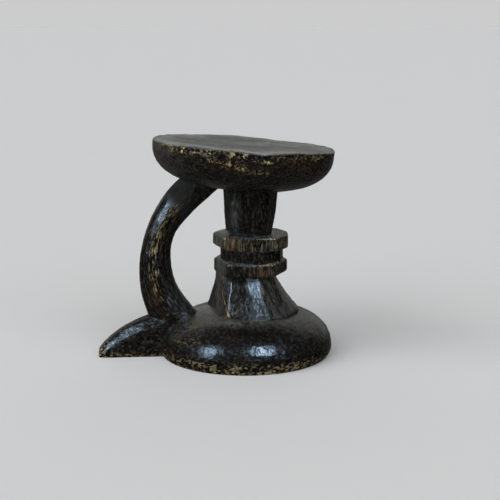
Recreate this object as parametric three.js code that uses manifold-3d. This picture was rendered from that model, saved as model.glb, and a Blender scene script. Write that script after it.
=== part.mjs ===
// A carved wooden stool, cut from one block and blackened: a bowl-shaped round seat, a hewn column with two
// rings, a flared skirt, a domed base, a curved handle beside the column, and a horn-shaped tail at its foot.
// Millimetres. +Z is up, the origin is the middle of the base's underside, and the handle lies along -X.
import * as THREE from "three";
import { mergeVertices } from "three/addons/utils/BufferGeometryUtils.js";
import Module from "manifold-3d";

const wasm = await Module();
wasm.setup();

// Driving dimensions: the seat, the column from the top down, the base, the handle and the tail.
const SEAT_RADIUS = 123.2;
const SEAT_HEIGHT = 291.4; // middle of the seat's rim plane
const SEAT_DEPTH = 62.5; // rim plane to the bottom of the bowl-shaped underside
const SEAT_TILT = 4.6; // degrees, from carving by eye
const SEAT_HIGH_SIDE = 202; // degrees, towards the handle and a little to the front
const UNDERSIDE_TILT = 5.4; // at the bottom of the bowl
const UNDERSIDE_FULLNESS = 2.65; // 2 is an ellipse, more is fuller at the shoulder
const SEAT_DISH = 4; // how far the middle of the seat is hollowed below its rim
const SEAT_CENTRE_X = -3.2;

const SHAFT_TOP_RADIUS = 37.2;
const SHAFT_FOOT_RADIUS = 31;
const RING_RADIUS = 52.3;
const UPPER_RING_X = 6;
const LOWER_RING_X = 3.8;
const UPPER_RING_Z = 149.5;
const UPPER_RING_THICKNESS = 18;
const LOWER_RING_Z = 114;
const LOWER_RING_THICKNESS = 17.3;
const NECK_RADIUS = 43.4;
const NECK_X = 7.3;

// The rings' tops climb towards the column on the front and the handle's side.
const UPPER_LEDGE_RISE = 7;
const LOWER_LEDGE_RISE = 4;

const SKIRT_TOP_RADIUS = 40.3;
const SKIRT_FOOT_RADIUS = 66;
const SKIRT_FOOT_Z = 61;

// The flat that clears the handle's gap: one plane down both rings and the skirt.
const SIDE_CUT_DISTANCE = 44.9; // from the origin, at the ground
const SIDE_CUT_ANGLE = 196;
const SIDE_CUT_LEAN = 2.7;

const BASE_RADIUS = 118.3;
const BASE_SOLE_RADIUS = 115.5;
const BASE_SOLE_SHIFT = -2; // the sole sits a little towards the handle
const BASE_WIDEST_Z = 8.5;
const BASE_HEIGHT = 65; // of the dome, where it would reach the axis
const BASE_FULLNESS = 2.55;

const HANDLE_HALF_DEPTH = [25, 21, 19, 19.5, 22.5]; // across the stool, from the handle's top to its foot
const HANDLE_RIDGE = 1.25; // above 1 the section has a soft ridge down each side
const TAIL_HALF_WIDTH = 18;
const TAIL_SHIFT_Y = -1;

const ROUND_STEPS = 80; // facets round the seat and the base

const degrees = THREE.MathUtils.degToRad;

// Solids

function solidOf(geometry) {
  const bare = geometry.clone();
  bare.deleteAttribute("normal");
  bare.deleteAttribute("uv");
  const merged = mergeVertices(bare, 1e-3);
  return new wasm.Manifold(
    new wasm.Mesh({
      numProp: 3,
      vertProperties: new Float32Array(merged.attributes.position.array),
      triVerts: new Uint32Array(merged.index.array),
    }),
  );
}

function geometryOf(solid) {
  const mesh = solid.getMesh();
  const geometry = new THREE.BufferGeometry();
  geometry.setAttribute("position", new THREE.BufferAttribute(mesh.vertProperties, 3));
  geometry.setIndex(new THREE.BufferAttribute(mesh.triVerts, 1));
  return geometry;
}

// A solid skinned over rings with the same number of points, each one anticlockwise seen from the last.
function skinned(rings) {
  const count = rings[0].length;
  const points = rings.flat();
  const index = [];
  for (let level = 0; level + 1 < rings.length; level++) {
    for (let i = 0; i < count; i++) {
      const a = level * count + i;
      const b = level * count + ((i + 1) % count);
      index.push(a, b, b + count, a, b + count, a + count);
    }
  }
  const cap = (first, flip) => {
    const middle = points.length;
    const ring = points.slice(first, first + count);
    points.push(ring.reduce((sum, p) => sum.add(p), new THREE.Vector3()).divideScalar(count));
    for (let i = 0; i < count; i++) {
      const a = first + i;
      const b = first + ((i + 1) % count);
      index.push(...(flip ? [middle, b, a] : [middle, a, b]));
    }
  };
  cap(0, true);
  cap((rings.length - 1) * count, false);
  return new THREE.BufferGeometry().setFromPoints(points).setIndex(index);
}

function circle(radius, z, stepShare = 0) {
  return Array.from({ length: ROUND_STEPS }, (_, i) => {
    const angle = (2 * Math.PI * (i + stepShare)) / ROUND_STEPS;
    return new THREE.Vector3(radius * Math.cos(angle), radius * Math.sin(angle), z);
  });
}

// Points of a quarter of a superellipse, from its full radius at height 0 to the axis at the full height.
function swelling(radius, height, power, steps) {
  return Array.from({ length: steps + 1 }, (_, i) => {
    const angle = (i / steps) * (Math.PI / 2);
    return [radius * Math.cos(angle) ** (2 / power), height * Math.sin(angle) ** (2 / power)];
  });
}

// Column

// An outline hewn with flats between the given corner angles. Flatness 1 leaves straight sides, 0 a circle.
function hewnRing({ corners, radius, flatness, centreX, z, perSide = 4 }) {
  const ring = [];
  corners.forEach((from, side) => {
    const to = side + 1 < corners.length ? corners[side + 1] : corners[0] + 360;
    const half = degrees(to - from) / 2;
    for (let i = 0; i < perSide; i++) {
      const angle = degrees(from) + (2 * half * i) / perSide;
      const chord = (radius * Math.cos(half)) / Math.cos(angle - degrees(from) - half);
      const r = THREE.MathUtils.lerp(radius, chord, flatness);
      ring.push(new THREE.Vector3(centreX + r * Math.cos(angle), r * Math.sin(angle), z));
    }
  });
  return ring;
}

// Corner angles of the hewn outlines, in degrees. The camera's side of the stool is at 270.
const UPPER_RING_CORNERS = [-20, 10, 38, 80, 123, 170, 223, 308];
const LOWER_RING_CORNERS = [-2, 42, 95, 138, 180, 228, 304];
const NECK_CORNERS = [0, 45, 95, 140, 183, 232, 289, 328];
const SHAFT_CORNERS = [-8, 25, 65, 105, 145, 178, 220, 247, 281, 306];
const SKIRT_TOP_CORNERS = [-25, 0, 25, 60, 100, 140, 175, 196, 250, 311];
const SKIRT_FOOT_CORNERS = [-45, -15, 15, 50, 90, 125, 154, 238, 260, 279.5];

function makeRing({ corners, flatness, centreX, z, thickness, inner, rise }) {
  const worn = 1.2; // the arrises are rubbed down
  const level = (radius, height) => hewnRing({ corners, radius, flatness, centreX, z: height });
  const ledge = level(inner, z + thickness);
  ledge.forEach((p) => {
    p.z += rise * THREE.MathUtils.smoothstep(-0.8 * p.x - p.y, -10, 22);
  });
  return skinned([
    level(RING_RADIUS - worn, z),
    level(RING_RADIUS, z + worn),
    level(RING_RADIUS, z + thickness - worn),
    level(RING_RADIUS - worn, z + thickness),
    ledge,
  ]);
}

// Height, radius and centre of the skirt, from inside the lower ring down into the base.
const SKIRT_PROFILE = [
  [LOWER_RING_Z + 1, SKIRT_TOP_RADIUS, -2.2],
  [106, 42, -0.8],
  [94, 47, 1.5],
  [84, 52.5, 2.5],
  [76, 57.3, 4.2],
  [69, 61.5, 5],
  [SKIRT_FOOT_Z + 4, SKIRT_FOOT_RADIUS - 1, 6],
  [SKIRT_FOOT_Z, SKIRT_FOOT_RADIUS + 1, 6],
  [SKIRT_FOOT_Z - 14, SKIRT_FOOT_RADIUS - 6, 6],
];

function makeSkirt() {
  const rings = SKIRT_PROFILE.map(([z, radius, centreX]) => {
    const t = THREE.MathUtils.clamp((LOWER_RING_Z - z) / (LOWER_RING_Z - SKIRT_FOOT_Z), 0, 1);
    const corners = SKIRT_TOP_CORNERS.map((top, k) => THREE.MathUtils.lerp(top, SKIRT_FOOT_CORNERS[k], t));
    return hewnRing({ corners, radius, flatness: 0.5, centreX, z });
  });
  return skinned(rings.reverse());
}

function makeNeck() {
  const hewn = { corners: NECK_CORNERS, radius: NECK_RADIUS, flatness: 0.85, centreX: NECK_X };
  return skinned([LOWER_RING_Z + 2, UPPER_RING_Z + 2].map((z) => hewnRing({ ...hewn, z })));
}

function makeShaft() {
  const foot = UPPER_RING_Z + UPPER_RING_THICKNESS - 2;
  const top = SEAT_HEIGHT - SEAT_DEPTH + 15;
  // Height, radius and centre: the shaft swells towards the seat and leans a little away from the handle.
  const levels = [
    [foot, SHAFT_FOOT_RADIUS, 3],
    [foot + 8, SHAFT_FOOT_RADIUS + 1, 3.8],
    [foot + 25, 34.2, 4.6],
    [foot + 50, 36.4, 5.5],
    [top, SHAFT_TOP_RADIUS + 0.6, 5.9],
  ];
  const hewn = { corners: SHAFT_CORNERS, flatness: 1, perSide: 2 };
  return skinned(levels.map(([z, radius, centreX]) => hewnRing({ ...hewn, radius, centreX, z })));
}

function makeColumn() {
  const reach = 100;
  const sideCut = new THREE.BoxGeometry(reach, 3 * reach, 3 * reach)
    .translate(SIDE_CUT_DISTANCE + reach / 2, 0, 0)
    .rotateY(-degrees(SIDE_CUT_LEAN))
    .rotateZ(degrees(SIDE_CUT_ANGLE));
  return [
    makeSkirt(),
    makeNeck(),
    makeRing({
      corners: LOWER_RING_CORNERS,
      flatness: 0.9,
      centreX: LOWER_RING_X,
      z: LOWER_RING_Z,
      thickness: LOWER_RING_THICKNESS,
      rise: LOWER_LEDGE_RISE,
      inner: NECK_RADIUS - 6,
    }),
    makeRing({
      corners: UPPER_RING_CORNERS,
      flatness: 0.8,
      centreX: UPPER_RING_X,
      z: UPPER_RING_Z,
      thickness: UPPER_RING_THICKNESS,
      rise: UPPER_LEDGE_RISE,
      inner: SHAFT_FOOT_RADIUS,
    }),
  ]
    .map(solidOf)
    .reduce((sum, s) => sum.add(s))
    .subtract(solidOf(sideCut))
    .add(solidOf(makeShaft()));
}

// Seat and base

function makeSeat() {
  const rimBand = 3;
  const underside = swelling(SEAT_RADIUS, SEAT_DEPTH - rimBand, UNDERSIDE_FULLNESS, 12)
    .reverse()
    .slice(1)
    .map(([r, z]) => [r, rimBand + z]);
  const hollow = [1, 0.75, 0.45, 0.2];
  const dish = hollow.map((share) => [(SEAT_RADIUS - 5) * share, SEAT_DISH * (1 - share ** 2)]);
  const high = degrees(SEAT_HIGH_SIDE);
  const tiltAxis = new THREE.Vector3(Math.sin(high), -Math.cos(high), 0);
  const rim = [
    [SEAT_RADIUS - 1, 1.5],
    [SEAT_RADIUS - 3, 0],
  ];
  const rings = [...underside, ...rim, ...dish].map(([radius, depth]) => {
    const tilt = THREE.MathUtils.lerp(SEAT_TILT, UNDERSIDE_TILT, depth / SEAT_DEPTH);
    return circle(radius, -depth).map((p) =>
      p.applyAxisAngle(tiltAxis, degrees(tilt)).add(new THREE.Vector3(SEAT_CENTRE_X, 0, SEAT_HEIGHT)),
    );
  });
  return skinned(rings);
}

function makeBase() {
  const dome = swelling(BASE_RADIUS, BASE_HEIGHT - BASE_WIDEST_Z, BASE_FULLNESS, 14)
    .slice(0, -1)
    .map(([r, z]) => [r, BASE_WIDEST_Z + z]);
  const foot = [0, 0.3, 0.65].map((t) => [
    THREE.MathUtils.lerp(BASE_SOLE_RADIUS, BASE_RADIUS, Math.sqrt(t)),
    t * BASE_WIDEST_Z,
  ]);
  const rings = [...foot, ...dome].map(([radius, z]) => {
    const shift = BASE_SOLE_SHIFT * Math.max(0, 1 - z / BASE_WIDEST_Z);
    return circle(radius, z, 0.5).map((p) => p.setX(p.x + shift));
  });
  return skinned(rings);
}

// Handle and tail

// Side outlines in the X-Z plane: [x, z] of the back (outer) line and the belly (inner) line.
const HANDLE_BACK = [
  [-68, 262], [-101, 235], [-124.5, 202], [-138.5, 169],
  [-147, 130], [-146, 92], [-138, 60], [-126, 30],
];
const HANDLE_BELLY = [
  [-11, 252], [-48.5, 221], [-78, 194], [-98.5, 167],
  [-104, 139], [-99, 104], [-83, 76], [-57, 44],
];
const TAIL_TOP = [[-205, 5], [-202, 12.5], [-187, 28.5], [-162, 44.5], [-135, 56], [-100, 64]];

// Half of the tail's section, from the ground up an upright side and over its back, as shares of width and
// height. The back is rounded at the tip and broad under the handle's foot.
const TAIL_TIP_SECTION = [[1, 0], [1.02, 0.24], [0.95, 0.48], [0.7, 0.74], [0.36, 0.93], [0, 1]];
const TAIL_ROOT_SECTION = [[1, 0], [1.08, 0.3], [1.16, 0.58], [1.08, 0.8], [0.62, 0.94], [0, 1]];

function outline(points) {
  return new THREE.SplineCurve(points.map(([x, z]) => new THREE.Vector2(x, z)));
}

function at(values, t) {
  const place = t * (values.length - 1);
  const i = Math.min(Math.floor(place), values.length - 2);
  return THREE.MathUtils.lerp(values[i], values[i + 1], place - i);
}

function makeHandle() {
  const back = outline(HANDLE_BACK);
  const belly = outline(HANDLE_BELLY);
  const steps = 22;
  const around = 16;
  const rings = [];
  for (let i = 0; i <= steps; i++) {
    const t = i / steps;
    const outer = back.getPoint(t);
    const inner = belly.getPoint(t);
    const depth = at(HANDLE_HALF_DEPTH, t);
    const ring = [];
    for (let k = 0; k < around; k++) {
      const angle = (2 * Math.PI * k) / around;
      const across = Math.sign(Math.cos(angle)) * Math.abs(Math.cos(angle)) ** HANDLE_RIDGE;
      const p = inner.clone().lerp(outer, 0.5 + 0.5 * across);
      ring.push(new THREE.Vector3(p.x, depth * Math.sin(angle), p.y));
    }
    rings.push(ring);
  }
  return skinned(rings);
}

function makeTail() {
  const top = outline(TAIL_TOP);
  const steps = 14;
  const rings = [];
  for (let i = 0; i <= steps; i++) {
    const t = i / steps;
    const { x, y: height } = top.getPoint(t);
    const width = TAIL_HALF_WIDTH * (0.45 + 0.55 * Math.sqrt(Math.min(1, 3 * t)));
    const lift = Math.max(0, 3 - 60 * t); // the tip is rounded off the ground
    const half = TAIL_TIP_SECTION.map(([side, up], k) => {
      const [rootSide, rootUp] = TAIL_ROOT_SECTION[k];
      const broad = THREE.MathUtils.smoothstep(t, 0.2, 0.85);
      return [
        width * THREE.MathUtils.lerp(side, rootSide, broad),
        lift + (height - lift) * THREE.MathUtils.lerp(up, rootUp, broad),
      ];
    });
    const mirrored = half.slice(0, -1).reverse();
    rings.push([
      ...half.map(([y, z]) => new THREE.Vector3(x, TAIL_SHIFT_Y + y, z)),
      ...mirrored.map(([y, z]) => new THREE.Vector3(x, TAIL_SHIFT_Y - y, z)),
    ]);
  }
  return skinned(rings);
}

const stoolSolid = [makeBase(), makeSeat(), makeHandle(), makeTail()]
  .map(solidOf)
  .reduce((sum, s) => sum.add(s), makeColumn());

const blackenedWood = new THREE.MeshStandardMaterial({ color: 0x17130f, roughness: 0.45, metalness: 0 });
const stool = new THREE.Mesh(geometryOf(stoolSolid), blackenedWood);
stool.name = "carved_stool";

const part = new THREE.Group();
part.add(stool);

export default part;
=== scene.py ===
import math

import bmesh
import bpy
import numpy as np
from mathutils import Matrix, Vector, noise


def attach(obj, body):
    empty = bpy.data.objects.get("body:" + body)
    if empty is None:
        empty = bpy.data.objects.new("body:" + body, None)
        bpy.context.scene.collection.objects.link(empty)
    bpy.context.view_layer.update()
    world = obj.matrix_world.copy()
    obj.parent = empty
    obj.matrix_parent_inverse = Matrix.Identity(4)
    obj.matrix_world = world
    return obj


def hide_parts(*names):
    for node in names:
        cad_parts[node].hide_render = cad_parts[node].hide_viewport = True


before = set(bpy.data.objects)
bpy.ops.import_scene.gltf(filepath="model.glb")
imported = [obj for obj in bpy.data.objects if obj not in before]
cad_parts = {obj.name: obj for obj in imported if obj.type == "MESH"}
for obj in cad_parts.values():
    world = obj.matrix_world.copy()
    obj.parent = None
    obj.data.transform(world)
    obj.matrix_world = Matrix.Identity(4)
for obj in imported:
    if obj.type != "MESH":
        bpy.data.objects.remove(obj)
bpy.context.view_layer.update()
MM = 0.001

# The block
# The whole stool is carved from one block of hardwood, so it is one skin. The skin starts as the hewn form,
# with its doubles merged, and gets an even grid of faces fine enough to take the tool marks.
GRID_DEPTH = 8
GRID_SHARE = 0.62  # share of the grid's box that the stool fills: a finer skin as it nears 1
MERGE = 0.01 * MM
TOUCHING = 0.25 * MM  # points of the grid that lie closer than this are one point
CREASE = math.radians(24)  # an inward corner sharper than this stays a crisp cut
SOFTENING = 0.5

block = bpy.data.objects.new("hewn_stool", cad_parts["carved_stool"].data.copy())
bpy.context.scene.collection.objects.link(block)
shape = bmesh.new()
shape.from_mesh(block.data)
bmesh.ops.remove_doubles(shape, verts=shape.verts, dist=MERGE)
shape.to_mesh(block.data)
shape.free()
grid = block.modifiers.new("even_grid", "REMESH")
grid.mode = "SHARP"
grid.octree_depth = GRID_DEPTH
grid.scale = GRID_SHARE
grid.use_remove_disconnected = False
evaluated = block.evaluated_get(bpy.context.evaluated_depsgraph_get())
skin = bpy.data.meshes.new_from_object(evaluated)
block.modifiers.clear()
block.data = skin
shape = bmesh.new()
shape.from_mesh(skin)
bmesh.ops.remove_doubles(shape, verts=shape.verts, dist=TOUCHING)
shape.normal_update()
cuts = {e for e in shape.edges if e.calc_face_angle_signed(0) < -CREASE}
softened = [v for v in shape.verts if cuts.isdisjoint(v.link_edges)]
bmesh.ops.smooth_vert(
    shape, verts=softened, factor=SOFTENING, use_axis_x=True, use_axis_y=True, use_axis_z=True
)
for cut in cuts:
    cut.smooth = False
shape.to_mesh(skin)
shape.free()


def points_of(mesh):
    """The mesh's points, in millimetres."""
    flat = np.zeros(len(mesh.vertices) * 3)
    mesh.vertices.foreach_get("co", flat)
    return flat.reshape(-1, 3) / MM


def normals_of(mesh):
    """The way that the mesh faces at each point."""
    flat = np.zeros(len(mesh.vertices) * 3)
    mesh.vertices.foreach_get("normal", flat)
    return flat.reshape(-1, 3)


P = points_of(skin)
N = normals_of(skin)
x, y, z = P.T
bearing = np.degrees(np.arctan2(y, x)) % 360  # seen from above, anticlockwise from the X axis
reach = np.hypot(x, y)

# The seat
# A round bowl hewn with an adze from the top of the block. Its rim was left uneven and has worn down in
# places, and its top is hollowed a little by shallow cuts that run from side to side.
SEAT_TILT = 4.6  # degrees
SEAT_LOW_SIDE = 22  # the bearing that the seat leans down to
SEAT_MIDDLE = np.array([-3.2, 0, 291.4])
RIM_WEAR = [  # bearing, millimetres up or down, half width in degrees
    (214, -1.5, 9), (236, 0.8, 8), (274, -1.3, 8), (299, 1.2, 9), (318, 1.0, 9),
    (60, -0.9, 14), (100, 0.9, 16),
]


def step(low, high, value):
    """Rises softly from 0 at low to 1 at high."""
    t = np.clip((value - low) / (high - low), 0, 1)
    return t * t * (3 - 2 * t)


def bump(centre, width, value):
    """1 at the centre, and fading to either side."""
    return np.exp(-(((value - centre) / width) ** 2))


def off_bearing(middle, angle=bearing):
    """Degrees to either side of a bearing, from -180 to 180."""
    return (angle - middle + 180) % 360 - 180


def facing(turn, lift=0.0):
    """The direction that looks out at that bearing and that lift above level, both in degrees."""
    turn, lift = math.radians(turn), math.radians(lift)
    return np.array([math.cos(turn) * math.cos(lift), math.sin(turn) * math.cos(lift), math.sin(lift)])


up_of_seat = facing(SEAT_LOW_SIDE, 90 - SEAT_TILT)
below_rim = (SEAT_MIDDLE - P) @ up_of_seat
seat_reach = np.hypot(x - SEAT_MIDDLE[0], y)
on_seat = step(231, 238, z) * step(70, 50, below_rim)
on_top = on_seat * step(0.6, 0.9, N @ up_of_seat)
on_bowl = on_seat * (1 - on_top)
near_rim = on_seat * step(30, 2, below_rim) * step(80, 115, seat_reach)
rim_lift = near_rim * sum(lift * bump(0, width, off_bearing(at)) for at, lift, width in RIM_WEAR)

# The column
# A hewn shaft over two cut discs and a flared skirt, left standing when the block was cut in between seat and
# base. Long flats run down the skirt's front, beside the leaning side cut that clears the handle.
SKIRT_HEIGHTS = [61, 69, 84, 106, 115]
SKIRT_SIZES = [66.5, 61.5, 52.5, 42, 40.3]  # the skirt's radius at each height
SKIRT_MIDDLES = [6, 5, 2.5, -0.8, -2.2]  # and where its middle lies along X
SKIRT_FLATS = [  # bearing, and how far out, as a share of the skirt's radius
    (222, 0.945), (253, 0.918), (278, 0.962), (302, 0.955),
]
SIDE_CUT = 196  # bearing of the side cut's front edge at the skirt's top
SIDE_CUT_SPREAD = 42  # how many degrees further round it is at the foot

on_column = step(78, 70, reach) * step(58, 63, z) * step(234, 229, z)
on_skirt = on_column * step(114, 112.5, z)
on_discs = on_column * step(112, 114, z) * step(170, 168, z) * step(35, 38, reach)
on_upper_disc = on_discs * step(148.5, 150, z)
on_lower_disc = on_discs * step(132.2, 130.8, z)
on_shaft = on_column * step(166, 168, z) * step(44, 40, reach)
skirt_size = np.interp(z, SKIRT_HEIGHTS, SKIRT_SIZES)
skirt_middle = np.interp(z, SKIRT_HEIGHTS, SKIRT_MIDDLES)
skirt_bearing = np.degrees(np.arctan2(y, x - skirt_middle)) % 360
down_skirt = (SKIRT_HEIGHTS[-1] - z) / (SKIRT_HEIGHTS[-1] - SKIRT_HEIGHTS[0])
off_side_cut = off_bearing(SIDE_CUT + SIDE_CUT_SPREAD * down_skirt, skirt_bearing)

# The base
# A round dome with a flat sole, cut from the foot of the block. The stool stands on it, and its lower edge is
# scuffed where it meets the ground.
on_base = step(66, 58, z) * step(121, 117, reach) * (1 - on_column)

# The handle
# A bowed limb that springs from the base and meets the underside of the seat, cut free of the column all the
# way. One long flat runs along its near outer side, and use has worn a pale streak along either side.
ARM_MIDDLE = (-20, 130)  # what the handle bends round, along X and up
ARM_FLAT = math.radians(54)  # how far the flat turns from straight outwards to the near side
ARM_FLAT_DEPTH = 1.8
ARM_ROUND = 110  # millimetres along the handle for each radian round its middle

on_arm = step(-60, -68, x) * step(29, 26, np.abs(y)) * step(46, 54, z)
on_arm *= step(246, 240, z) * step(74, 78, reach)
arm_turn = np.arctan2(z - ARM_MIDDLE[1], -(x - ARM_MIDDLE[0]))
arm_reach = np.hypot(x - ARM_MIDDLE[0], z - ARM_MIDDLE[1])
outwards = np.stack([-np.cos(arm_turn), 0 * x, np.sin(arm_turn)], 1)
arm_way = outwards * math.cos(ARM_FLAT) + np.array([0, -math.sin(ARM_FLAT), 0])

# The tail
# A horn-shaped foot under the handle, part of the same block. It lies on the ground, and a sloping flat runs
# along its near side.
TAIL_FLAT = facing(247, 34)
TAIL_FLAT_DEPTH = 1.8

on_tail = step(-114, -120, x) * step(56, 50, z)

# The tool marks
# Shallow scoops of the adze that overlap, longer along the handle and the column, and the low lumps that its
# work left. The long flats are hewn first, and the sole is left flat.
TOOL_MARKS = [  # where, the points as stretched, the marks' size, seed and depth
    (on_bowl, P * [1, 1, 0.7], 12.0, 3, 0.16),
    (on_base, P, 9.0, 11, 0.20),
    (on_top, P * [0.25, 1, 1], 10.0, 5, 0.45),
    (on_column * (1 - on_discs), P * [1, 1, 0.4], 8.0, 7, 0.20),
    (on_discs, P * [1, 1, 0.5], 7.0, 7, 0.10),
    (on_arm, np.stack([arm_reach, y, arm_turn * ARM_ROUND * 0.4], 1), 8.0, 9, 0.22),
    (on_tail, P * [0.5, 1, 1], 8.0, 9, 0.22),
]
LUMPS = [(22, 21, 0.40), (6.5, 31, 0.12), (4, 41, 0.05)]  # size, seed, height
SOLE = 0.6  # what lies below this height is the flat sole


def ripple(points, size, seed=0):
    """Soft noise from -1 to 1 with lumps of that size."""
    return np.array([noise.noise(Vector(p)) for p in points / size + seed])


def scoops(points, size, seed=0):
    """0 in the middle of each tool mark and about 1 on the ridge where two marks meet."""
    found = [noise.voronoi(Vector(p))[0][0] for p in points / size + seed]
    return np.minimum(np.array(found) ** 2 * 2.5, 1.5)


def planed(points, way, limit, where):
    """Hews a flat that faces that way: what stands past the limit comes off."""
    past = np.maximum((points * way).sum(1) - limit, 0) * where
    return points - way * past[:, None]


def crest(along, height, where, slices=48):
    """The greatest height at each place along a limb."""
    inside = where > 0.5
    stations = np.linspace(along[inside].min(), along[inside].max(), slices + 1)
    index = np.clip(np.digitize(along[inside], stations) - 1, 0, slices - 1)
    top = np.full(slices, -np.inf)
    np.maximum.at(top, index, height[inside])
    return np.interp(along, (stations[1:] + stations[:-1]) / 2, top)


relief = 0.07 * on_skirt * ripple(P * [1, 1, 0.6], 3.6, 51)
for where, stretched, size, seed, depth in TOOL_MARKS:
    relief += depth * where * scoops(stretched, size, seed)
for size, seed, lift in LUMPS:
    relief += lift * ripple(P, size, seed)
made = P.copy()
for turn, share in SKIRT_FLATS:
    made = planed(made, facing(turn), share * skirt_size + skirt_middle * facing(turn)[0], on_skirt)
arm_cut = ARM_FLAT_DEPTH * step(1.0, 0.55, arm_turn)
made = planed(made, arm_way, crest(arm_turn, (P * arm_way).sum(1), on_arm) - arm_cut, on_arm)
tail_cut = TAIL_FLAT_DEPTH * (0.3 + 0.7 * step(-200, -160, x))
made = planed(made, TAIL_FLAT, crest(x, P @ TAIL_FLAT, on_tail, 12) - tail_cut, on_tail)
made += N * (relief * step(0.4, 3, z))[:, None]
made[:, 2] += rim_lift
made[:, 2] = np.where(z < SOLE, 0, np.maximum(made[:, 2], 0))
skin.vertices.foreach_set("co", (made * MM).ravel())
skin.update()
N = normals_of(skin)

# The wear
# Use has rubbed the black off in spots: along the rim, the discs' edges, the skirt's arrises, the handle's
# sides, the tail's tip and the foot of the base.
RIM_SPOTS = [  # bearing, millimetres below the rim, half width, half height, how bare
    (206, 5, 6, 7, 0.65), (216, 5, 7, 6, 0.85), (225, 7, 4, 6, 1.0), (234, 7, 6, 6, 0.75),
    (243, 6, 5, 6, 1.0), (250, 5, 6, 6, 0.4), (258, 7, 4, 7, 0.85), (264, 7, 3, 6, 1.05),
    (271, 10, 4, 4, 0.75), (277, 13, 4, 4, 1.0), (285, 7, 5, 6, 0.65), (298, 7, 11, 6, 0.60),
    (316, 7, 12, 8, 0.60), (20, 6, 12, 7, 0.6), (60, 6, 30, 7, 0.75), (130, 6, 25, 7, 0.8),
    (180, 6, 14, 7, 0.7), (243, 17, 9, 4, 0.72), (255, 20, 10, 5, 0.84), (264, 24, 9, 4, 0.76),
    (273, 28, 9, 4, 0.66),
]
DISC_EDGES = (167.4, 131.2)  # heights of the discs' top edges, which have rubbed pale
ARM_STREAK = 109  # millimetres from what the handle bends round to its worn streaks
ARM_CHIP = (-122.7, -20, 116.6)  # a small fresh chip on the handle's near side
SCUFF = (292, 96)  # bearing and height of a scuff on the skirt, beside its shining flat

edges = np.zeros(len(skin.edges) * 2, int)
skin.edges.foreach_get("vertices", edges)
edges = edges.reshape(-1, 2)


def spread(values):
    """The mean of each point's neighbours."""
    total = np.zeros_like(values)
    count = np.zeros(len(values))
    for a, b in (edges.T, edges.T[::-1]):
        np.add.at(total, a, values[b])
        np.add.at(count, a, 1)
    return total / (count if values.ndim == 1 else count[:, None])


def attribute(name, values):
    """Gives each point of the skin a value from 0 to 1 that the finish reads."""
    written = skin.attributes.new(name, "FLOAT", "POINT")
    written.data.foreach_set("value", np.clip(values, 0, 1).astype(np.float32))


def patches(spots):
    """The strongest of the spots at each point of the bowl."""
    strongest = np.zeros_like(below_rim)
    for at, low, wide, tall, bare in spots:
        spot = bare * bump(0, wide, off_bearing(at)) * bump(0, tall, below_rim - low)
        strongest = np.maximum(strongest, spot)
    return strongest


standing_out = ((made - spread(made)) * N).sum(1)
edge = spread(step(0.10, 0.45, standing_out))
hollow = spread(step(0.2, 0.5, -standing_out))

wear = on_bowl * np.maximum(0.13 * step(60, 30, below_rim), patches(RIM_SPOTS))
base_flank = 0.32 * bump(0, 20, off_bearing(214)) * step(20, 34, z)
base_foot = step(19, 11, z) * (0.52 + 0.2 * bump(0, 45, off_bearing(262)))
wear += on_base * (0.02 + base_flank + base_foot)
arm_streak = bump(0, 6, arm_reach - ARM_STREAK) * step(6, 16, np.abs(y)) * step(66, 84, z)
wear += on_arm * (0.17 + 0.58 * arm_streak * step(1.05, 0.6, arm_turn))
wear += 1.2 * on_arm * bump(0, 3.2, np.linalg.norm(P - ARM_CHIP, axis=1))
wear += on_tail * (0.08 + 0.40 * step(9, 3, z) + 0.55 * step(-180, -198, x) + 0.35 * edge)
disc_edge = sum(bump(at, 1.5, z) for at in DISC_EDGES) * step(44, 47, reach)
wear += on_discs * (0.85 * disc_edge + 0.5 * bump(0, 3, off_bearing(225)) * step(150, 152, z))
skirt_foot = step(86, 64, z) * (0.16 + 0.42 * bump(0, 12, off_bearing(236)))
scuff = bump(0, 2.6, off_bearing(SCUFF[0], skirt_bearing)) * bump(SCUFF[1], 8, z)
wear += on_skirt * (0.95 * bump(0, 2.2, off_side_cut) + 0.5 * edge + skirt_foot + 0.75 * scuff)
attribute("wear", wear)

# The dust and the painted light
# Grey dust lies on the seat's top and rim, the discs' ledges and the shoulders of the base. The same grey is
# painted light on the sides of the bowl, the discs and the skirt that face the strong left lamp, and a
# painted highlight on the brightest part of the shaft's front facet.
LEFT_SIDE = 195
ARM_SIDE = 181
FRONT = 265

upward = step(0.55, 0.98, N[:, 2])
shoulder = step(30, 60, np.abs(off_bearing(FRONT))) + step(52, 60, z)
shoulder = np.minimum(shoulder * step(12, 44, np.abs(off_bearing(ARM_SIDE))), 1)
lip = on_seat * step(0.2, 0.45, N @ up_of_seat) * step(109, 114, seat_reach)
lip_side = lip * (1 - on_top)
sat_on = bump(-24, 44, x) * bump(-40, 60, y) * step(112, 96, seat_reach)
# Painted highlight: the shaft's front facet, where the left lamp shines, gets the grey as painted light.
painted_lit_facet = on_shaft * bump(0, 13, off_bearing(234)) * bump(198, 24, z)
dust_and_painted_light = on_top * (1.05 - 0.6 * sat_on) + lip_side + 0.24 * painted_lit_facet
dust_and_painted_light += upward * (on_base * shoulder * (0.42 + 0.16 * step(280, 240, bearing)) + 0.45 * on_discs)
# Painted light on the skirt's left facet, which faces the left lamp; the grey on its right facets is dust.
dust_and_painted_light += on_skirt * (0.36 * bump(0, 26, off_bearing(200)) + 0.18 * step(288, 296, skirt_bearing))
dust_and_painted_light += 0.05 * on_skirt * step(76, 66, z)
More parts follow.
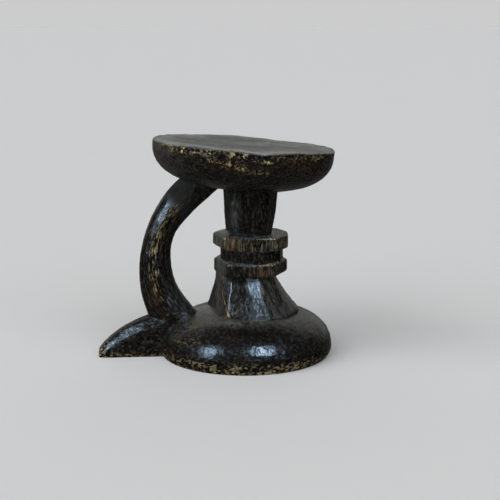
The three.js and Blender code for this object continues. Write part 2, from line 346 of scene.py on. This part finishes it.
# Painted light: the sides of the bowl and the discs that face the strong left lamp are greyed lighter.
dust_and_painted_light += (0.26 * on_bowl + 0.52 * on_discs) * (1 - upward) * bump(0, 24, off_bearing(LEFT_SIDE))
attribute("dust_and_painted_light", dust_and_painted_light)
pale = lip_side * (0.40 + 0.32 * step(235, 285, bearing))
pale += on_top * (0.14 + 0.24 * step(88, 112, seat_reach) - 0.10 * sat_on)
attribute("pale", pale)

# The stains and the gloss
# Pale streaks run down the discs' faces, and the wood shows reddish in a few patches. The wax is dull in the
# hollows, on the rim and at the handle's top, and broken on the skirt's bright flat. The base's front is
# polished, with few pale specks.
ARM_RUSSET = (-126.5, -20, 87.4)
BOWL_RUSSET = [(305, 18, 22, 12, 0.4), (258, 22, 14, 7, 0.5)]
SHINING_FLAT = 278

upper_streaks = 0.95 + 0.05 * bump(0, 18, off_bearing(295))
lower_streaks = 0.02 + 0.75 * bump(0, 22, off_bearing(300))
streak = on_upper_disc * upper_streaks + on_lower_disc * lower_streaks
attribute("streak", step(0.5, 0.2, N[:, 2]) * streak)
russet = on_bowl * patches(BOWL_RUSSET)
russet += 0.8 * on_upper_disc * bump(0, 9, off_bearing(238))
russet += 0.7 * on_lower_disc * bump(0, 9, off_bearing(292))
russet += 0.8 * on_skirt * bump(0, 5, off_bearing(SCUFF[0], skirt_bearing)) * bump(SCUFF[1], 12, z)
russet += on_arm * bump(0, 9, np.linalg.norm((P - ARM_RUSSET) * [1.6, 1, 0.8], axis=1))
attribute("russet", russet)
attribute("polish", 0.75 * on_base * bump(0, 75, off_bearing(268)) * step(12, 24, z))
off_shining = off_bearing(SHINING_FLAT, skirt_bearing)
dull = 0.1 * (1 - on_skirt) + 0.5 * painted_lit_facet
dull += on_skirt * (0.45 * bump(0, 12, off_shining) + 0.40 * step(94, 70, z) * bump(0, 16, off_shining))
attribute("dull", dull)
matt = lip * (1 - bump(0, 8, off_bearing(278))) + 0.9 * on_arm * step(0.72, 0.9, arm_turn)
attribute("matt", 0.4 * hollow + matt)

# The grain
# The wood's fibres run up the column and the bowl. The patterns of the finish follow them there, and go round
# the base, along the handle and the tail, and over the seat's top.
TOP_SLANT = math.radians(8)
BASE_ROUND = 70  # millimetres of pattern for each radian round the base
SKIRT_ROUND = 50  # the same round the skirt, whose streaks fan out downwards


def lay(name, stretch, parts):
    """Writes where each point lies in the patterns: as on the stretched block, or in the part's own way."""
    laid = P * stretch
    for where, along in parts:
        laid = np.where((where > 0.5)[:, None], along, laid)
    written = skin.attributes.new(name, "FLOAT_VECTOR", "POINT")
    written.data.foreach_set("vector", (laid * MM).astype(np.float32).ravel())


from_tail = np.radians(180 + (bearing - 180) % 360)  # the pattern joins up under the tail
round_base = np.stack([from_tail * BASE_ROUND, reach * 0.45, z], 1)
down_arm = np.stack([arm_reach, y, arm_turn * ARM_ROUND], 1)
along_cuts = x * math.cos(TOP_SLANT) - y * math.sin(TOP_SLANT)
over_top = np.stack([along_cuts, x * math.sin(TOP_SLANT) + y * math.cos(TOP_SLANT), z], 1)
fanned = np.stack([x / reach.clip(1) * SKIRT_ROUND, y / reach.clip(1) * SKIRT_ROUND, z], 1)
FIBRES = [
    (on_base, round_base),
    (on_top, over_top * [0.16, 0.45, 0.45]),
    (on_arm, down_arm * [1, 1, 0.14]),
    (on_tail, P * [0.2, 1, 1]),
    (on_skirt, fanned * [1, 1, 0.14]),
]
BLOTCHES = [
    (on_bowl, P * [0.75, 0.75, 1]),
    (on_top, over_top * [0.20, 0.30, 0.30]),
    (on_arm, down_arm * [1.5, 1.5, 0.3]),
    (on_base, round_base),
    (on_tail, P * [0.6, 1, 1]),
    (on_skirt, fanned * [1, 1, 0.5]),
]
lay("fibres", [1, 1, 0.14], FIBRES)
lay("blotches", [1, 1, 0.5], BLOTCHES)

# The finish
# Blackened and waxed hardwood: nearly black over dark brown, with a broken gloss. It has rubbed back to ochre
# wood on the rims and edges, and dust greys what faces up. The same grey is painted light on the sides that
# face the left lamp and on the shaft's lit facet.
BLUE_BLACK = (0.0020, 0.0030, 0.0044)
RED_BLACK = (0.0055, 0.0030, 0.0018)
BLACK = (0.0050, 0.0050, 0.0045)
BROWN = (0.016, 0.0125, 0.007)
BLUE_GRIT = (0.055, 0.068, 0.076)
OLIVE_GRIT = (0.085, 0.076, 0.046)
DARK_STREAK = (0.028, 0.024, 0.016)
PALE_STREAK = (0.155, 0.140, 0.085)
RUSSET = (0.070, 0.030, 0.012)
DUST_AND_LIGHT_GREY = (0.066, 0.066, 0.052)
PALE_DUST_AND_LIGHT_GREY = (0.245, 0.240, 0.219)
WORN = [  # how far it is rubbed, and the colour there
    (0.0, BLACK),
    (0.22, (0.036, 0.025, 0.008)),
    (0.46, (0.105, 0.080, 0.026)),
    (0.7, (0.25, 0.20, 0.080)),
    (1.0, (0.56, 0.49, 0.27)),
]

wood = bpy.data.materials.new("blackened_wood")
wood.use_nodes = True
nodes, links = wood.node_tree.nodes, wood.node_tree.links
shader = nodes["Principled BSDF"]
place = nodes.new("ShaderNodeTexCoord").outputs["Object"]


def read(name, output="Fac"):
    """One of the skin's attributes."""
    node = nodes.new("ShaderNodeAttribute")
    node.attribute_name = name
    return node.outputs[output]


def mottle(size, detail, roughness, where):
    """Noise with blotches of that size in millimetres."""
    node = nodes.new("ShaderNodeTexNoise")
    node.inputs["Scale"].default_value = 1 / (size * MM)
    node.inputs["Detail"].default_value = detail
    node.inputs["Roughness"].default_value = roughness
    links.new(where, node.inputs["Vector"])
    return node.outputs["Fac"]


def math_node(kind, a, b, clamp=False):
    """Joins two values, each of them a number or the output of another node."""
    node = nodes.new("ShaderNodeMath")
    node.operation = kind
    node.use_clamp = clamp
    for socket, value in zip(node.inputs, (a, b)):
        if isinstance(value, (int, float)):
            socket.default_value = value
        else:
            links.new(value, socket)
    return node.outputs[0]


def times(a, b, clamp=False):
    return math_node("MULTIPLY", a, b, clamp)


def plus(a, b, clamp=False):
    return math_node("ADD", a, b, clamp)


def mixed(*shares):
    """The sum of the patterns, each times its share."""
    total = times(*shares[0])
    for pattern, share in shares[1:]:
        total = plus(total, times(pattern, share))
    return total


def ramp(value, low, high, to_low=0.0, to_high=1.0):
    """Goes softly from one value to another as what it reads goes from low to high."""
    node = nodes.new("ShaderNodeMapRange")
    node.interpolation_type = "SMOOTHSTEP"
    for name, number in (("From Min", low), ("From Max", high), ("To Min", to_low), ("To Max", to_high)):
        node.inputs[name].default_value = number
    links.new(value, node.inputs["Value"])
    return node.outputs[0]


def blend(factor, a, b):
    """A colour that goes from a to b."""
    node = nodes.new("ShaderNodeMix")
    node.data_type = "RGBA"
    links.new(factor, node.inputs[0])
    for socket, value in ((node.inputs[6], a), (node.inputs[7], b)):
        if isinstance(value, tuple):
            socket.default_value = (*value, 1)
        else:
            links.new(value, socket)
    return node.outputs[2]


in_fibres = read("fibres", "Vector")
in_blotches = read("blotches", "Vector")
fine = ramp(mottle(2.7, 3, 0.7, in_blotches), 0.38, 0.62)
medium = ramp(mottle(4.0, 5, 0.68, in_blotches), 0.32, 0.68)
broad = ramp(mottle(11, 4, 0.6, in_blotches), 0.32, 0.68)
lines = ramp(mottle(1.6, 4, 0.6, in_fibres), 0.33, 0.67)
bands = ramp(mottle(3.4, 3, 0.7, in_fibres), 0.36, 0.64)
tint = ramp(mottle(3.4, 2, 0.5, place), 0.42, 0.58)

colour = blend(times(broad, medium), blend(tint, BLUE_BLACK, RED_BLACK), BROWN)
grit = times(ramp(fine, 0.7, 1.0), ramp(medium, 0.2, 1.0, 0.12, 0.6))
grit = times(grit, math_node("SUBTRACT", 1.0, read("polish")))
colour = blend(grit, colour, blend(tint, BLUE_GRIT, OLIVE_GRIT))
streaks = times(times(read("streak"), ramp(bands, 0.15, 0.8)), ramp(broad, 0.1, 0.7, 0.5, 1.1), True)
colour = blend(streaks, colour, blend(ramp(lines, 0.25, 0.85), DARK_STREAK, PALE_STREAK))
colour = blend(times(read("russet"), medium, True), colour, RUSSET)

cover_pattern = mixed((bands, 0.3), (medium, 0.45), (lines, 0.25), (fine, 0.3), (broad, 0.3))
cover_pattern = plus(ramp(cover_pattern, 0.4, 1.25, 0.25, 1.15), times(read("pale"), 0.9))
dust_and_light_cover = times(read("dust_and_painted_light"), cover_pattern, True)
grey_paleness = plus(mixed((lines, 0.3), (broad, 0.35)), read("pale"), True)
# The grey laid here is dust, and painted light on the sides and the facet that the left lamp lights.
colour = blend(dust_and_light_cover, colour, blend(grey_paleness, DUST_AND_LIGHT_GREY, PALE_DUST_AND_LIGHT_GREY))

speckle = ramp(mixed((medium, 0.34), (fine, 0.44), (broad, 0.22)), 0.30, 0.80)
rubbed = math_node("SUBTRACT", plus(read("wear"), speckle), 1.0, True)
bare_wood = nodes.new("ShaderNodeValToRGB")
for rubbed_to, tone in WORN[1:-1]:
    bare_wood.color_ramp.elements.new(rubbed_to)
for stop, (rubbed_to, tone) in zip(bare_wood.color_ramp.elements, WORN):
    stop.position = rubbed_to
    stop.color = (*tone, 1)
links.new(rubbed, bare_wood.inputs["Fac"])
colour = blend(ramp(rubbed, 0.0, 0.2), colour, bare_wood.outputs["Color"])
links.new(colour, shader.inputs["Base Color"])

gloss = plus(ramp(medium, 0.0, 1.0, 0.13, 0.24), times(dust_and_light_cover, 0.7))
gloss = plus(gloss, times(read("dull"), ramp(fine, 0.0, 1.0, 0.25, 1.0)))
gloss = plus(gloss, times(read("matt"), 0.8))
gloss = plus(gloss, times(rubbed, 0.8), True)
links.new(gloss, shader.inputs["Roughness"])

pits = nodes.new("ShaderNodeTexVoronoi")
pits.inputs["Scale"].default_value = 1 / (4.2 * MM)
links.new(place, pits.inputs["Vector"])
height = plus(pits.outputs["Distance"], times(mottle(2.4, 3, 0.6, place), 1.25))
height = plus(height, times(lines, 0.35))
height = math_node("SUBTRACT", height, times(rubbed, 0.3))
grain_relief = nodes.new("ShaderNodeBump")
grain_relief.inputs["Strength"].default_value = 0.25
grain_relief.inputs["Distance"].default_value = 0.5 * MM
links.new(height, grain_relief.inputs["Height"])
links.new(grain_relief.outputs["Normal"], shader.inputs["Normal"])

skin.materials.clear()
skin.materials.append(wood)
for face in skin.polygons:
    face.use_smooth = True

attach(block, "root")
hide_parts("carved_stool")

# The floor
# A plain pale ground, far wider than the view. It isn't part of the stool. The wood's gloss doesn't mirror
# it, because that would grey the black.
FLOOR_HALF = 40.0
FLOOR_GREY = 0.72

floor_shape = bmesh.new()
bmesh.ops.create_grid(floor_shape, x_segments=1, y_segments=1, size=FLOOR_HALF)
floor_mesh = bpy.data.meshes.new("floor")
floor_shape.to_mesh(floor_mesh)
floor_shape.free()
floor = bpy.data.objects.new("floor", floor_mesh)
bpy.context.scene.collection.objects.link(floor)
ground = bpy.data.materials.new("pale_ground")
ground.use_nodes = True
ground_shader = ground.node_tree.nodes["Principled BSDF"]
ground_shader.inputs["Base Color"].default_value = (FLOOR_GREY, FLOOR_GREY, FLOOR_GREY, 1)
ground_shader.inputs["Roughness"].default_value = 0.9
floor_mesh.materials.append(ground)
floor.visible_glossy = False

# The light
# Soft studio light: two broad lamps low on the camera's side, a fill from above, and a pale glow behind the
# stool. Each low lamp is a neutral one that lights, and two cool ones that only give the sheen, one above the
# other like a tall window.
CAMERA_BEARING = 265.2
BODY_SPREAD = 65  # degrees across
SHEEN_SPREAD = 14
TALL = 8  # degrees that a sheen lamp hangs above or below the middle of its window
LAMPS = [  # name, bearing from the camera's, lift, strength of the light, strength of the sheen
    ("left", -55, 28, 2.4, 1.0),
    ("right", 26, 38.5, 1.25, 1.8),
]
COOL = (0.55, 0.76, 1.0)
NEUTRAL = (1.0, 1.0, 1.0)
SEEN_GREY = 0.60  # what the camera sees past the floor's edge


def sun(name, turn, lift, spread, strength, tone, lights, shines):
    """A far lamp at that bearing and lift, which may light, give a sheen or both."""
    lamp = bpy.data.lights.new(name, "SUN")
    lamp.angle = math.radians(spread)
    lamp.energy = strength
    lamp.color = tone
    hung = bpy.data.objects.new(name, lamp)
    bpy.context.scene.collection.objects.link(hung)
    hung.rotation_euler = Vector(facing(turn, lift)).to_track_quat("Z", "Y").to_euler()
    hung.visible_diffuse = lights
    hung.visible_glossy = shines


for name, turn, lift, light, sheen in LAMPS:
    sun(name + "_light", CAMERA_BEARING + turn, lift, BODY_SPREAD, light, NEUTRAL, True, False)
    for half in (-TALL, TALL):
        sun(name + "_sheen", CAMERA_BEARING + turn, lift + half, SHEEN_SPREAD, sheen, COOL, False, True)
sun("overhead_fill", 90, 80, 100, 0.45, NEUTRAL, True, False)

world = bpy.data.worlds.new("surround")
bpy.context.scene.world = world
world.use_nodes = True
sky, sky_links = world.node_tree.nodes, world.node_tree.links
towards = sky.new("ShaderNodeSeparateXYZ")
sky_links.new(sky.new("ShaderNodeTexCoord").outputs["Generated"], towards.inputs[0])


def glow(way, low, high, to_low, to_high):
    """How bright the surround is at each place along one axis."""
    node = sky.new("ShaderNodeMapRange")
    node.interpolation_type = "SMOOTHSTEP"
    for name, number in (("From Min", low), ("From Max", high), ("To Min", to_low), ("To Max", to_high)):
        node.inputs[name].default_value = number
    sky_links.new(towards.outputs[way], node.inputs["Value"])
    return node.outputs[0]


total = sky.new("ShaderNodeMath")
total.operation = "MULTIPLY_ADD"
sky_links.new(glow("Y", 0.35, 0.95, 0.04, 0.50), total.inputs[0])  # behind the stool
sky_links.new(glow("Z", -0.10, 0.15, 0.15, 1.0), total.inputs[1])  # fading under the horizon
sky_links.new(glow("Z", -0.35, -0.9, 0.0, 0.035), total.inputs[2])  # from the ground
shown = sky.new("ShaderNodeMix")
sky_links.new(sky.new("ShaderNodeLightPath").outputs["Is Camera Ray"], shown.inputs[0])
sky_links.new(total.outputs[0], shown.inputs[2])
shown.inputs[3].default_value = SEEN_GREY
sky_links.new(shown.outputs[0], sky["Background"].inputs["Strength"])
sky["Background"].inputs["Color"].default_value = (1, 1, 1, 1)

# The camera
# It stands where the photograph was taken from: low, a little above the seat, and looking down a little. Its
# lens is longish.
CAMERA_PLACE = (-130.3, -1545.6, 462.1)
CAMERA_WAY = (0.0854, 0.9759, -0.2011)
LENS = 82.8
SENSOR = 36

camera = bpy.data.objects.new("camera", bpy.data.cameras.new("camera"))
bpy.context.scene.collection.objects.link(camera)
camera.location = Vector(CAMERA_PLACE) * MM
camera.rotation_euler = Vector(CAMERA_WAY).to_track_quat("-Z", "Y").to_euler()
camera.data.lens = LENS
camera.data.sensor_width = SENSOR
bpy.context.scene.camera = camera
bpy.context.scene.view_settings.view_transform = "Standard"
